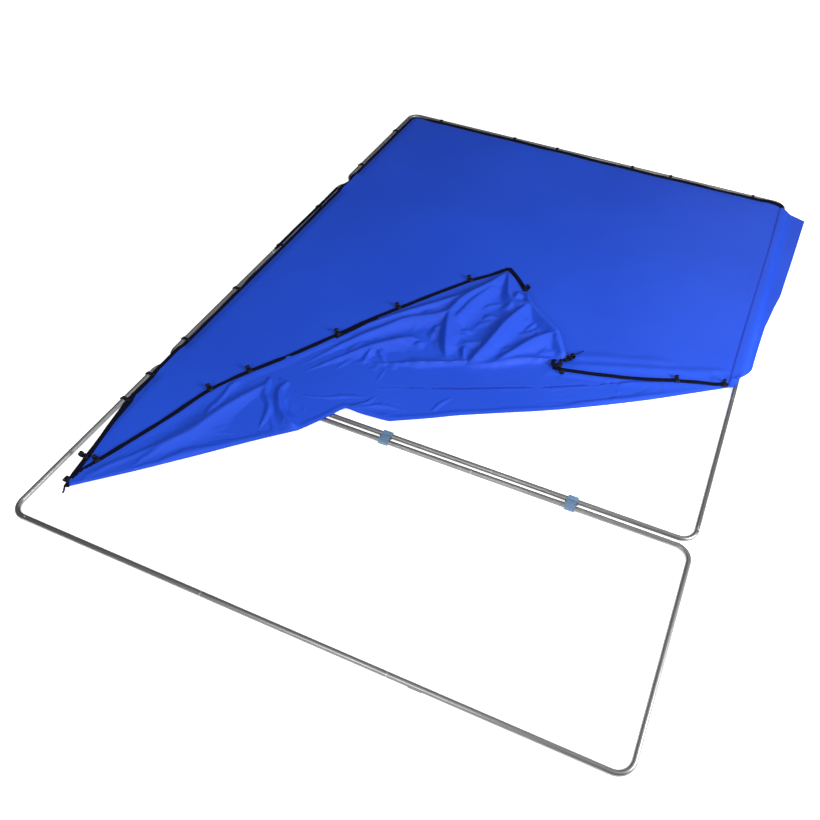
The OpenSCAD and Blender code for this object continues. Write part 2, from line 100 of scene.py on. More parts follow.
# Plan of the line where the cover turns back over itself, from the loose tip to the bottom tube
FOLD_LINE = metres([
    (132, -868), (370, -660), (750, -315), (905, -178), (927, -155), (987, -64), (1025, 0),
    (1045, 35), (1056, 52), (1068, 58), (1095, 58), (1150, 56), (1220, 61), (1260, 64),
    (1285, 66.5), (1304, 69), (1318, 77), (1340, 90), (1390, 118), (1480, 170), (1610, 250),
    (1810, 357), (2065, 495), (2430, 720), (2800, 975), (2858, 1012),
])
# Plan of the folded corner's two hems, from the tip to the cut corner and on to the bottom tube
NEAR_HEM = metres([
    (132, -868), (122, -813), (134, -763), (163, -690), (221, -538), (297, -338), (372, -119),
    (480, 74), (604, 261), (728, 467), (855, 689), (997, 906), (1115, 1080), (1230, 1241),
    (1321, 1342), (1401, 1447),
])
CORNER_HEM = metres([(1401, 1447), (1490, 1376), (1573, 1290)])
ROLLED_EDGE = metres([
    (1573, 1290), (1650, 1190), (1765, 1100), (1875, 1008), (1945, 905), (1985, 850),
])
BAND_END = metres([(1985, 850), (1955, 818), (1932, 790), (1930, 762)])
BAND_HEM = metres([
    (1930, 762), (1970, 765), (2013, 773), (2181, 812), (2388, 869), (2573, 936), (2780, 996),
    (2858, 1012),
])
# The top edge between the loose tip and the place where the hooks hold it to the tube
LOOSE_TOP_EDGE = metres([(132, -868), (109, -787), (96, -698), (79, -600), (52, -455), (34, -320)])
HELD_FROM_Y = -0.28
# Where hooks hold the cover: along the top tube of each panel, and along the far tube
TOP_HOOKS = {"left": (-0.33, -0.14), "centre": (0.15, 0.62, 1.08, 1.54), "right": (2.11, 2.637)}
FAR_HOOKS = (0.25, 0.86, 1.2, 1.78, 2.065, 2.655)
# Edge of the skirt: distance past the bottom tube's axis, by place along it
SKIRT_EDGE = metres([
    (1000, 0), (1085, 4), (1128, 26), (1212, 61), (1400, 66), (1600, 74), (1800, 98), (1928, 117),
    (2300, 135), (2795, 156), (2900, 158),
])
# The cover's far lower corner: in past the bend of the tube, then out to the end of the skirt
FAR_TIP = metres([
    (2840, 2867), (2868, 2850), (2885, 2838), (2917, 2836), (2965, 2822), (3031, 2797),
])

# Spacing of the meshes' points
FLAP_STEP = 0.0105
COVER_STEP = 0.016
FAR_STEP = 0.024
EDGE_STEP = 0.02


# ---- camera, floor and light
def add_object(name, data):
    obj = bpy.data.objects.new(name, data)
    bpy.context.scene.collection.objects.link(obj)
    return obj


def add_camera():
    data = bpy.data.cameras.new("camera")
    data.sensor_width = 36
    data.lens = 32.1
    data.shift_x = -0.111
    data.shift_y = 0.0054
    camera = add_object("camera", data)
    camera.location = at(2.617, -1.938, 2.861)
    camera.rotation_euler = Euler([math.radians(a) for a in (40.477, -2.045, 22.153)])
    bpy.context.scene.camera = camera


# Area lights: name, place and target in the plan, size, power in watts
LIGHTS = [
    ("key", (5.6, -0.3, 2.3), (1.9, 0.8, 0), (1.4, 1.8), 268),
    ("back", (3.4, 5.6, 3.8), (2.2, 1.0, 0), (2.4, 1.6), 38),
    ("top", (1.4, 0.8, 5.5), (1.4, 0.8, 0), (4.0, 4.0), 44),
    ("near", (1.0, -3.0, 2.6), (0.8, 0.0, 0), (1.6, 1.6), 64),
]
WORLD_GREYS = ((0.25, 0.03), (0.85, 1.0))   # height in the sky, and its grey there
WORLD_STRENGTH = 0.34
FLOOR_REACH = 14
FLOOR_Z = -0.0005


def add_area_light(name, place, target, size, power):
    data = bpy.data.lights.new(name, "AREA")
    data.shape = "RECTANGLE"
    data.size, data.size_y = size
    data.energy = power
    light = add_object(name, data)
    light.location = at(*place)
    light.rotation_euler = (at(*target) - at(*place)).to_track_quat("-Z", "Y").to_euler()


def square(reach, z):
    return [(-reach, -reach, z), (reach, -reach, z), (reach, reach, z), (-reach, reach, z)]


def add_stage():
    world = bpy.data.worlds.new("studio")
    world.use_nodes = True
    tree = world.node_tree
    where = tree.nodes.new("ShaderNodeTexCoord")
    split = tree.nodes.new("ShaderNodeSeparateXYZ")
    ramp = tree.nodes.new("ShaderNodeValToRGB")
    tree.links.new(where.outputs["Generated"], split.inputs[0])
    tree.links.new(split.outputs[2], ramp.inputs[0])
    tree.links.new(ramp.outputs[0], tree.nodes["Background"].inputs["Color"])
    for element, (place, grey) in zip(ramp.color_ramp.elements, WORLD_GREYS):
        element.position = place
        element.color = (grey, grey, grey, 1)
    tree.nodes["Background"].inputs["Strength"].default_value = WORLD_STRENGTH
    bpy.context.scene.world = world
    bpy.context.scene.view_settings.view_transform = "Standard"
    for light in LIGHTS:
        add_area_light(*light)
    mesh = bpy.data.meshes.new("floor")
    mesh.from_pydata(square(FLOOR_REACH, 0), [], [(0, 1, 2, 3)])
    floor = add_object("floor", mesh)
    floor.location.z = FLOOR_Z
    s = Shader("white_floor", rough=0.9)
    s.set("Base Color", (0.9, 0.9, 0.9, 1))
    s.set("Emission Color", (1, 1, 1, 1))
    s.set("Emission Strength", 0.7)
    mesh.materials.append(s.material)


# ---- materials
class Shader:
    """A procedural material under construction: a Principled shader and the nodes that feed it."""

    def __init__(self, name, rough, metal=0.0, spec=0.5):
        self.material = bpy.data.materials.new(name)
        self.material.use_nodes = True
        self.tree = self.material.node_tree
        self.bsdf = self.tree.nodes["Principled BSDF"]
        self.set("Roughness", rough)
        self.set("Metallic", metal)
        self.set("Specular IOR Level", spec)

    def set(self, name, value):
        self.bsdf.inputs[name].default_value = value

    def node(self, kind, inputs=None, **settings):
        n = self.tree.nodes.new(kind)
        for key, value in settings.items():
            setattr(n, key, value)
        for key, value in (inputs or {}).items():
            if isinstance(value, bpy.types.NodeSocket):
                self.tree.links.new(value, n.inputs[key])
            else:
                n.inputs[key].default_value = value
        return n

    def link(self, output, name):
        self.tree.links.new(output, self.bsdf.inputs[name])

    def noise(self, vector, scale, detail=3.0, rough=0.55):
        inputs = {"Vector": vector, "Scale": scale, "Detail": detail, "Roughness": rough}
        return self.node("ShaderNodeTexNoise", inputs).outputs["Fac"]

    def ramp(self, fac, stops):
        n = self.node("ShaderNodeValToRGB", {"Fac": fac})
        elements = n.color_ramp.elements
        for i, (place, colour) in enumerate(stops):
            e = elements[i] if i < len(elements) else elements.new(place)
            e.position = place
            e.color = (*colour, 1)
        return n.outputs["Color"]

    def math(self, op, a, b=0.0):
        return self.node("ShaderNodeMath", {0: a, 1: b}, operation=op).outputs[0]

    def range(self, value, low, high, to_low, to_high):
        inputs = {"Value": value, "From Min": low, "From Max": high}
        inputs |= {"To Min": to_low, "To Max": to_high}
        return self.node("ShaderNodeMapRange", inputs).outputs[0]

    def bump(self, height, strength, distance, normal=None):
        inputs = {"Height": height, "Strength": strength, "Distance": distance}
        if normal is not None:
            inputs["Normal"] = normal
        return self.node("ShaderNodeBump", inputs).outputs["Normal"]

    def scaled(self, vector, scale):
        return self.node("ShaderNodeMapping", {"Vector": vector, "Scale": scale}).outputs["Vector"]


def cloth_material():
    """Matt stretch cloth: fine knit, faint pile, soft colour drift and a sewn seam by the skirt,
    darkened along its groove as painted shade.
    """
    s = Shader("cover_cloth", rough=0.6, spec=0.4)
    flat = s.node("ShaderNodeAttribute", attribute_name="flat").outputs["Vector"]
    xyz = s.node("ShaderNodeSeparateXYZ", {0: flat})
    drift = s.noise(flat, 1.3, 2.0)
    base = s.ramp(drift, [(0.3, (0.0045, 0.060, 0.60)), (0.7, (0.007, 0.070, 0.655))])
    courses = s.math("SINE", s.math("MULTIPLY", xyz.outputs[0], 2 * math.pi / 0.0011))
    wales = s.math("SINE", s.math("MULTIPLY", xyz.outputs[1], 2 * math.pi / 0.0009))
    knit = s.math("MULTIPLY", courses, wales)
    pile = s.noise(flat, 420.0, 2.0)
    shade = s.range(s.math("ADD", s.math("MULTIPLY", knit, 0.5), pile), 0.0, 1.2, 0.9, 1.06)
    colour = s.node("ShaderNodeMix", {"Factor": 1.0, 6: base}, data_type="RGBA", blend_type="MULTIPLY")
    grey = s.node("ShaderNodeCombineColor", {0: shade, 1: shade, 2: shade}).outputs[0]
    s.tree.links.new(grey, colour.inputs[7])
    # The sewn seam between cover and skirt: a groove beside the welt, bumped in relief and darkened in
    # colour as painted shade in the groove
    seam = s.node("ShaderNodeAttribute", attribute_name="seam").outputs["Fac"]
    seam_groove_and_shade = s.range(s.math("ABSOLUTE", seam), 0.002, 0.008, 0.0, 1.0)
    # painted shade: the cloth's colour is darkened along the seam's groove
    dark = s.node("ShaderNodeMix", {"Factor": seam_groove_and_shade, 6: (0.001, 0.026, 0.42, 1)}, data_type="RGBA")
    s.tree.links.new(colour.outputs[2], dark.inputs[7])
    s.link(dark.outputs[2], "Base Color")
    creases = s.noise(flat, 9.0, 5.0, 0.6)
    relief = s.bump(creases, 0.10, 0.004)
    relief = s.bump(knit, 0.25, 0.0002, relief)
    relief = s.bump(seam_groove_and_shade, 0.6, 0.002, relief)
    s.link(relief, "Normal")
    s.link(s.range(pile, 0.3, 0.7, 0.5, 0.64), "Roughness")
    s.set("Sheen Weight", 0.06)
    s.set("Sheen Roughness", 0.4)
    s.set("Sheen Tint", (0.35, 0.5, 1, 1))
    return s.material


def elastic_material():
    """Black woven elastic, ribbed along its length."""
    s = Shader("elastic_hem", rough=0.8, spec=0.06)
    run = s.node("ShaderNodeAttribute", attribute_name="flat").outputs["Vector"]
    xyz = s.node("ShaderNodeSeparateXYZ", {0: run})
    ribs = s.math("SINE", s.math("MULTIPLY", xyz.outputs[1], 2 * math.pi / 0.0022))
    picks = s.math("SINE", s.math("MULTIPLY", xyz.outputs[0], 2 * math.pi / 0.0016))
    dust = s.noise(run, 160.0, 4.0)
    s.link(s.ramp(dust, [(0.25, (0.002, 0.0025, 0.010)), (0.8, (0.006, 0.007, 0.022))]), "Base Color")
    relief = s.bump(ribs, 0.5, 0.0005)
    s.link(s.bump(picks, 0.3, 0.0002, relief), "Normal")
    s.link(s.range(dust, 0.3, 0.7, 0.5, 0.72), "Roughness")
    return s.material


def tube_material(name, y_axis=None, along_y=False):
    """Drawn aluminium tube: fine lines along the tube, faint stains and scuffs."""
    s = Shader(name, rough=0.32, metal=1.0)
    where = s.node("ShaderNodeTexCoord").outputs["Object"]
    lines_x = s.noise(s.scaled(where, (1.2, 260, 260)), 3.0, 3.0)
    lines_y = s.noise(s.scaled(where, (260, 1.2, 260)), 3.0, 3.0)
    if y_axis is None:
        lines = lines_y if along_y else lines_x
    else:
        y = s.node("ShaderNodeSeparateXYZ", {0: where}).outputs[1]
        off = s.math("ABSOLUTE", s.math("SUBTRACT", y, y_axis))
        side = s.range(off, 0.014, 0.04, 0.0, 1.0)
        mix = s.node("ShaderNodeMix", {"Factor": side, 2: lines_x, 3: lines_y}, data_type="FLOAT")
        lines = mix.outputs[0]
    stains = s.noise(where, 7.0, 4.0, 0.65)
    grain = s.math("ADD", s.math("MULTIPLY", lines, 0.6), s.math("MULTIPLY", stains, 0.4))
    s.link(s.ramp(grain, [(0.3, (0.20, 0.20, 0.203)), (0.7, (0.31, 0.31, 0.314))]), "Base Color")
    s.link(s.range(grain, 0.3, 0.7, 0.46, 0.32), "Roughness")
    s.link(s.bump(lines, 0.12, 0.0004), "Normal")
    return s.material


def moulded_material(name, dark, light, rough, metal=0.0, wear=0.0, spec=0.5):
    """Moulded or coated surface: fine texture, colour drift and paler worn edges."""
    s = Shader(name, rough=rough, metal=metal, spec=spec)
    where = s.node("ShaderNodeTexCoord").outputs["Object"]
    grain = s.noise(where, 900.0, 2.0)
    drift = s.noise(where, 35.0, 3.0)
    colour = s.ramp(drift, [(0.3, dark), (0.7, light)])
    if wear:
        point = s.node("ShaderNodeNewGeometry").outputs["Pointiness"]
        edge = s.range(point, 0.52, 0.6, 0.0, wear)
        pale = tuple(min(1.0, c * 1.6 + 0.03) for c in light)
        mix = s.node("ShaderNodeMix", {"Factor": edge, 6: colour, 7: (*pale, 1)}, data_type="RGBA")
        colour = mix.outputs[2]
    s.link(colour, "Base Color")
    s.link(s.range(grain, 0.3, 0.7, rough - 0.06, rough + 0.08), "Roughness")
    s.link(s.bump(grain, 0.15, 0.0003), "Normal")
    return s.material


# Bent tubes whose run along X lies on their low Y side
LOW_CORNERS = {
    "left_outer_bent_tube", "left_top_bent_tube", "centre_left_bent_tube", "centre_top_bent_tube",
    "right_inner_bent_tube", "right_top_bent_tube",
}


def finish_cad_nodes():
    """Gives each CAD node that stays in view its material."""
    steel = ((0.5, 0.5, 0.51), (0.66, 0.66, 0.67))
    spring = moulded_material("spring_steel", *steel, 0.28, metal=1.0)
    grey_blue = ((0.06, 0.115, 0.20), (0.11, 0.185, 0.30))
    nylon = moulded_material("clamp_nylon", *grey_blue, 0.45, wear=0.2, spec=0.35)
    black = ((0.008, 0.008, 0.01), (0.02, 0.02, 0.022))
    screw = moulded_material("black_screw", *black, 0.4, wear=0.4)
    deep_black = ((0.004, 0.004, 0.005), (0.01, 0.01, 0.012))
    rubber = moulded_material("black_rubber", *deep_black, 0.75, spec=0.15)
    run_x = tube_material("tube_along_x")
    run_y = tube_material("tube_along_y", along_y=True)
    for name, node in nodes.items():
        low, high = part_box(name)
        size = high - low
        if name.endswith("bent_tube"):
            y_axis = low.y + TUBE_R if name in LOW_CORNERS else high.y - TUBE_R
            material = tube_material(name + "_metal", y_axis=y_axis)
        elif name.endswith("_tube"):
            material = run_x if size.x > size.y else run_y
        elif name.endswith("_button"):
            material = spring
        elif name.endswith("jaws"):
            material = nylon
        elif name == "clamp_pivot_screws":
            material = screw
        elif name in ("blank_label", "tube_bumpers"):
            material = rubber
        else:
            continue
        for slot in node.material_slots:
            slot.material = material
        if not node.material_slots:
            node.data.materials.append(material)


# ---- mesh helpers
def resample(points, count):
    """count points evenly along a smooth curve through the given plan points."""
    p = np.array(points, float)
    ends = np.vstack([2 * p[0] - p[1], p, 2 * p[-1] - p[-2]])
    fine = []
    for i in range(len(p) - 1):
        a, b, c, d = ends[i:i + 4]
        for t in np.linspace(0, 1, 24, endpoint=False):
            fine.append(0.5 * (2 * b + (c - a) * t + (2 * a - 5 * b + 4 * c - d) * t * t
                               + (3 * b - a - 3 * c + d) * t ** 3))
    fine = np.array(fine + [p[-1]])
    run = np.concatenate([[0], np.cumsum(np.linalg.norm(np.diff(fine, axis=0), axis=1))])
    want = np.linspace(0, run[-1], count)
    return np.stack([np.interp(want, run, fine[:, k]) for k in range(p.shape[1])], 1)


def make_mesh(name, points, faces, flat=None):
    """A smooth mesh object. points are plan points, and flat is where each lies on the cut cloth."""
    mesh = bpy.data.meshes.new(name)
    mesh.from_pydata([at(*p) for p in points], [], [tuple(f) for f in faces])
    for polygon in mesh.polygons:
        polygon.use_smooth = True
    if flat is not None:
        attribute = mesh.attributes.new("flat", "FLOAT_VECTOR", "POINT")
        padded = np.zeros((len(points), 3), np.float32)
        padded[:, :2] = np.asarray(flat)[:, :2]
        attribute.data.foreach_set("vector", padded.ravel())
    return add_object(name, mesh)


def ease(a, b, x):
    t = np.clip((np.asarray(x, float) - a) / (b - a), 0, 1)
    return t * t * (3 - 2 * t)


# ---- shape of the stretched cover
def cover_height(x, y):
    """Height of the stretched cover: taut over the tubes, slightly slack between them."""
    x, y = np.asarray(x, float), np.asarray(y, float)
    across = np.sin(np.clip(x / PANEL_H, 0, 1) * math.pi)
    centre = np.sin(np.clip(y / CENTRE_W, 0, 1) * math.pi) * (y > 0) * (y < CENTRE_W)
    side = np.sin(np.clip((y - RIGHT_Y) / (OUTER_Y - RIGHT_Y), 0, 1) * math.pi) * (y > RIGHT_Y)
    slack = CENTRE_SLACK * across * centre ** 0.8 + SIDE_SLACK * across * side
    pulls = 0.0022 * np.sin(9.0 * y + 5.0 * x) * np.exp(-x / 0.35)
    pulls += 0.0016 * np.sin(14.0 * x + 3.0 * y) * np.exp(-np.abs(y - 2.9) / 0.25)
    pulls += 0.0012 * np.sin(4.0 * x - 5.5 * y + 1.0)
    return COVER_Z - slack + pulls * ease(0.0, 0.12, x) - EDGE_DIP * edge_drop(x, y)


def edge_drop(x, y):
    """1 where the cloth's edge lies beside the top or far tube, 0 inside and over the bent tubes."""
    top = ease(EDGE_IN + 0.05, EDGE_IN, x)
    for joint_y in (LEFT_PIVOT_Y, RIGHT_PIVOT_Y):
        top = top * ease(BEND_REACH, BEND_REACH + 0.06, np.abs(y - joint_y))
    far = ease(OUTER_Y - EDGE_IN - 0.05, OUTER_Y - EDGE_IN, y)
    far = far * ease(PANEL_H - 0.09, PANEL_H - 0.18, x)
    return np.maximum(top, far)


def skirt_height(x, y):
    """Height of the cloth past the seam: over the bottom tube, then down and along the floor."""
    fall = ease(PANEL_H + 0.004, PANEL_H + 0.062, x)
    ripple = 0.002 * np.sin(11 * np.asarray(y)) * ease(PANEL_H + 0.03, PANEL_H + 0.1, x)
    return COVER_Z * (1 - fall) + (0.0035 + ripple + 0.0015) * fall


# Crests of the creases in the folded corner. Each is a row of (x, y, height over the bed of the
# corner), then the slopes down on its left and on its right, looking along the row.
CORNER_CREASES = [(metres(row), left, right) for row, left, right in (
    ([(690, 222, 5), (833, 480, 14), (951, 636, 20), (1052, 764, 25), (1178, 851, 28),
      (1244, 915, 32), (1267, 1050, 32), (1363, 1254, 26), (1401, 1400, 10)], 0.5, 0.3),
    ([(821, 606, 8), (1020, 827, 18), (1179, 1003, 20), (1287, 1143, 18),
      (1378, 1339, 10)], 0.4, 0.3),
    ([(720, 175, 4), (849, 350, 12), (968, 493, 18), (1072, 587, 22), (1144, 652, 14)], 0.45, 0.3),
    ([(1631, 1143, 32), (1581, 985, 34), (1551, 805, 30), (1522, 659, 24),
      (1505, 615, 12)], 0.25, 0.55),
    ([(1830, 966, 36), (1762, 889, 32), (1705, 790, 26), (1658, 709, 20),
      (1617, 646, 10)], 0.25, 0.55),
    ([(1877, 960, 38), (1925, 895, 26), (1965, 845, 16)], 0.3, 0.4),
    ([(1245, 912, 32), (1289, 779, 30), (1338, 660, 22), (1362, 615, 10)], 0.25, 0.6),
    ([(1300, 896, 24), (1328, 1051, 26), (1378, 1218, 22)], 0.3, 0.25),
    ([(1424, 1390, 14), (1493, 1207, 22), (1550, 1155, 26), (1626, 1142, 32)], 0.3, 0.4),
    ([(1549, 1218, 26), (1536, 1099, 18)], 0.35, 0.35),
    ([(1600, 1240, 20), (1645, 1170, 26), (1745, 1085, 30), (1867, 990, 38)], 0.35, 0.35),
    ([(980, 471, 16), (982, 382, 8)], 0.35, 0.35),
    ([(1033, 480, 14), (1097, 415, 8)], 0.35, 0.35),
    ([(1437, 690, 18), (1472, 598, 10)], 0.4, 0.5),
    ([(1050, 398, 9), (1207, 463, 15), (1335, 524, 16), (1472, 594, 13)], 0.16, 0.75),
    ([(1530, 600, 10), (1612, 638, 14), (1706, 706, 18), (1778, 750, 18),
      (1892, 800, 12)], 0.16, 0.75),
    ([(800, 36, 7), (930, 80, 11), (1024, 127, 11), (1167, 188, 5)], 0.2, 0.5),
    ([(1075, 60, 6), (1141, 137, 11), (1164, 216, 5)], 0.3, 0.3),
    ([(1088, 63, 6), (1220, 145, 10), (1339, 165, 5)], 0.3, 0.3),
    ([(1467, 222, 4), (1490, 287, 8), (1525, 353, 4)], 0.25, 0.25),
    ([(915, -160, 6), (857, -135, 16), (774, -87, 18), (703, 12, 16), (699, 90, 12)], 0.35, 0.5),
    ([(603, 70, 12), (637, -18, 15), (705, -85, 15), (734, -171, 13), (744, -246, 7)], 0.45, 0.35),
    ([(457, -20, 10), (458, -166, 12), (453, -238, 12), (482, -331, 7)], 0.25, 0.35),
    ([(170, -800, 4), (297, -600, 12), (448, -400, 18), (499, -251, 18),
      (551, -101, 16), (611, 29, 13)], 0.22, 0.2),
    ([(285, -745, 3), (431, -585, 9), (556, -421, 12), (763, -248, 7)], 0.16, 0.14),
    ([(1957, 485, 4), (2178, 603, 8), (2376, 707, 8), (2542, 826, 4)], 0.15, 0.4),
    ([(2262, 785, 6), (2308, 731, 8)], 0.3, 0.3),
    ([(2250, 723, 6), (2318, 802, 6)], 0.3, 0.3),
)]
# Where short creases gather: middle, reach in x and y, heading in degrees, how many, height
CRUMPLED_PLACES = [
    (1.25, 0.72, 0.16, 0.16, 62, 12, 0.02),
    (1.55, 0.9, 0.12, 0.18, 70, 8, 0.022),
    (1.68, 0.98, 0.1, 0.1, 40, 6, 0.026),
    (1.0, 0.45, 0.14, 0.14, 55, 10, 0.014),
    (0.75, -0.03, 0.14, 0.14, 100, 9, 0.013),
    (1.16, 0.16, 0.12, 0.06, 20, 6, 0.009),
    (0.5, -0.25, 0.1, 0.18, 65, 5, 0.009),
    (1.8, 0.88, 0.07, 0.06, 75, 5, 0.024),
    (2.28, 0.76, 0.05, 0.04, 60, 4, 0.008),
]
# The seam of the folded corner, between the cover and its skirt: a low welt, steep on its far side
CORNER_SEAM = metres([
    (750, 117), (1036, 223), (1281, 315), (1556, 432), (1772, 536), (1915, 600), (2200, 752),
    (2383, 852), (2500, 900),
])
SEAM_WELT = ([(x + 0.008, y - 0.012, 0.0075) for x, y in CORNER_SEAM], 0.5, 0.07)
# The creases of the stretched cover beside the folded corner, in the same form
COVER_CREASES = [(metres(row), left, right) for row, left, right in (
    ([(2041, 835, 5), (2301, 925, 8), (2503, 992, 8), (2740, 1072, 5)], 0.14, 0.2),
    ([(2296, 1000, 4), (2414, 1035, 6), (2511, 1058, 4)], 0.12, 0.14),
    ([(2000, 890, 5), (2200, 960, 6), (2450, 1030, 3)], 0.1, 0.16),
    ([(2642, 1055, 5), (2740, 1090, 6), (2808, 1113, 4)], 0.15, 0.2),
    ([(2745, 1050, 6), (2785, 1018, 9), (2830, 1014, 6)], 0.3, 0.3),
    ([(2821, 1084, 4), (2862, 1074, 7), (2900, 1140, 4)], 0.3, 0.3),
)]


def line_distance(points, line):
    """For each point: distance to the line, signed distance, how far past its ends, height there."""
    best = np.full(len(points), 1e9)
    signed = np.full(len(points), 1e9)
    height = np.zeros(len(points))
    over = np.zeros(len(points))
    for i in range(len(line) - 1):
        a, b = np.array(line[i][:2]), np.array(line[i + 1][:2])
        d = b - a
        t_free = ((points - a) @ d) / (d @ d)
        t = np.clip(t_free, 0, 1)
        gap = points - (a + t[:, None] * d)
        dist = np.hypot(gap[:, 0], gap[:, 1])
        side = np.sign(d[0] * (points[:, 1] - a[1]) - d[1] * (points[:, 0] - a[0]))
        closer = dist < best
        best = np.where(closer, dist, best)
        signed = np.where(closer, dist * side, signed)
        if len(line[i]) > 2:
            height = np.where(closer, line[i][2] + t * (line[i + 1][2] - line[i][2]), height)
        last = i == len(line) - 2
        past_last = np.where(last & (t_free > 1), t_free - 1, 0)
        beyond = np.where((i == 0) & (t_free < 0), -t_free, past_last)
        over = np.where(closer, beyond * math.sqrt(d @ d), over)
    return best, signed, over, height


def crease_height(points, creases, soft=0.0012):
    """Upper envelope of the creases' tents, rounded a little where they meet."""
    layers = [np.zeros(len(points))]
    for row, left, right in creases:
        line = [(x, y, h) for x, y, h in resample(row, 4 * len(row))]
        dist, signed, _, height = line_distance(points, line)
        dist = np.sqrt(dist ** 2 + 0.0015 ** 2) - 0.0015
        layers.append(height - dist * np.where(signed > 0, left, right))
    layers = np.array(layers)
    top = layers.max(0)
    return top + soft * np.log(np.exp((layers - top) / soft).sum(0)) - soft * math.log(1.6)


def small_creases():
    """Short seeded creases between the long ones, thickest where the corner is most crumpled."""
    draw = random.Random(11)
    creases = []
    for x, y, reach_x, reach_y, heading, count, height in CRUMPLED_PLACES:
        for _ in range(count):
            cx, cy = x + draw.uniform(-reach_x, reach_x), y + draw.uniform(-reach_y, reach_y)
            angle = math.radians(heading + draw.uniform(-38, 38))
            half = draw.uniform(0.035, 0.11)
            top = height * draw.uniform(0.5, 1.0)
            bend = draw.uniform(-0.02, 0.02)
            dx, dy = math.cos(angle), math.sin(angle)
            row = [
                (cx - dx * half, cy - dy * half, top * 0.2), (cx - dy * bend, cy + dx * bend, top),
                (cx + dx * half, cy + dy * half, top * 0.2),
            ]
            creases.append((row, draw.uniform(0.2, 0.7), draw.uniform(0.2, 0.7)))
    return creases


def sharpen(creases, taller=1.4, steeper=1.85):
    """The same creases, higher and steeper."""
    return [
        ([(x, y, h * taller) for x, y, h in row], left * steeper, right * steeper)
        for row, left, right in creases
    ]


def wander(points, scale, seed):
    """Smooth seeded noise, from about -1 to 1, at each point."""
    return np.array([noise.noise((x * scale, y * scale, seed)) for x, y in points]) * 1.6


def fill(outline, rows, step):
    """Triangles filling a plan outline: the outline's points, then a lattice in the given x rows."""
    ring = np.array(outline)
    inner = []
    for i, x in enumerate(rows):
        y0 = ring[:, 1].min() + (step / 2 if i % 2 else 0)
        inner += [(x, y) for y in np.arange(y0, ring[:, 1].max(), step)]
    inner = np.array(inner)
    inside = np.zeros(len(inner), bool)
    nearest = np.full(len(inner), 1e9)
    for a, b in zip(ring, np.roll(ring, -1, 0)):
        spans = (a[1] > inner[:, 1]) != (b[1] > inner[:, 1])
        rise = b[1] - a[1] if b[1] != a[1] else 1e-12
        inside ^= spans & (inner[:, 0] < (b[0] - a[0]) * (inner[:, 1] - a[1]) / rise + a[0])
        d = b - a
        t = np.clip(((inner - a) @ d) / max(d @ d, 1e-12), 0, 1)
        gap = inner - (a + t[:, None] * d)
        nearest = np.minimum(nearest, np.hypot(gap[:, 0], gap[:, 1]))
    inner = inner[inside & (nearest > 0.45 * step)]
    points = [Vector(p) for p in ring] + [Vector(p) for p in inner]
    edges = [(i, (i + 1) % len(ring)) for i in range(len(ring))]
    found = delaunay_2d_cdt(points, edges, [list(range(len(ring)))], 1, 1e-6)
    return np.array([tuple(p) for p in found[0]]), [tuple(f) for f in found[2]]


def tip_sag(y):
    """How far the loose tip of the cover hangs below the tubes, down towards the floor."""
    return TIP_SAG * ease(-0.12, -0.75, y)


FOLD_POINTS = resample(FOLD_LINE, 260)


def cover_points_height(points):
    """Height of the stretched cover and its skirt at plan points."""
    x, y = points[:, 0], points[:, 1]
    z = np.where(x > PANEL_H - 0.03, skirt_height(x, y), cover_height(x, y))
    z = z - tip_sag(y)
    z = z + crease_height(points, sharpen(COVER_CREASES)) * ease(1.6, 1.3, y)
    return z + 0.0008 * wander(points, 5.0, 3.0)


def edge_fade(points, lines, reach):
    """0 on the given lines, rising to 1 at reach away from them."""
    nearest = np.full(len(points), 1e9)
    for line in lines:
        nearest = np.minimum(nearest, line_distance(points, line)[0])
    return ease(0.0, reach, nearest)


def add_solidify(obj, thickness):
    """Gives a sheet its thickness, in the mesh itself."""
    modifier = obj.modifiers.new("thickness", "SOLIDIFY")
    modifier.thickness = thickness
    modifier.offset = 0
    apply_modifiers(obj)
    obj.data.set_sharp_from_angle(angle=math.radians(60))


def apply_modifiers(obj):
    """Replaces an object's mesh by the mesh its modifiers make."""
    graph = bpy.context.evaluated_depsgraph_get()
    made = bpy.data.meshes.new_from_object(obj.evaluated_get(graph), depsgraph=graph)
    obj.modifiers.clear()
    if obj.data.shape_keys:
        obj.shape_key_clear()
    obj.data = made


def set_seam(obj, signed):
    attribute = obj.data.attributes.new("seam", "FLOAT", "POINT")
    attribute.data.foreach_set("value", np.asarray(signed, np.float32))


# ---- the cover, one sheet sewn of two widths
def skirt_x(y):
    edge = np.array(SKIRT_EDGE)
    return PANEL_H + np.interp(y, edge[:, 0], edge[:, 1])


def top_edge_x(y):
    """The edge of the cloth along the top tubes, drawn in where it bridges the gap between panels."""
    return EDGE_IN + 0.004 * np.exp(-((np.asarray(y) - RIGHT_PIVOT_Y) / 0.05) ** 2)


def top_row(y0, y1, outside=0.0):
    """Plan points along the cloth's top edge, or along a line outside it."""
    return [(float(top_edge_x(y)) - outside, y) for y in np.arange(y0, y1, EDGE_STEP)]


def skirt_row(y0, y1):
    return [(float(skirt_x(y)), y) for y in np.arange(y0, y1, -EDGE_STEP)]


def near_outline():
    top = top_row(HELD_FROM_Y, SEAM_Y)
    top.append((float(top_edge_x(SEAM_Y)), SEAM_Y))
    joined = [(x, SEAM_Y) for x in sheet_rows()[1:] if x < skirt_x(SEAM_Y) - 0.004]
    loose = [tuple(p) for p in resample(LOOSE_TOP_EDGE, 30)]
    fold = [tuple(p) for p in FOLD_POINTS[::-1]]
    return loose[1:] + top[1:] + joined + skirt_row(SEAM_Y, 1.03) + fold


def sheet_rows():
    """Rows of the cover's mesh: even between the tubes, close over the bottom tube and the skirt."""
    wide = np.arange(EDGE_IN, PANEL_H - 0.05, COVER_STEP)
    close = np.arange(wide[-1] + 0.01, PANEL_H + 0.17, 0.008)
    return [float(x) for x in wide] + [float(x) for x in close]


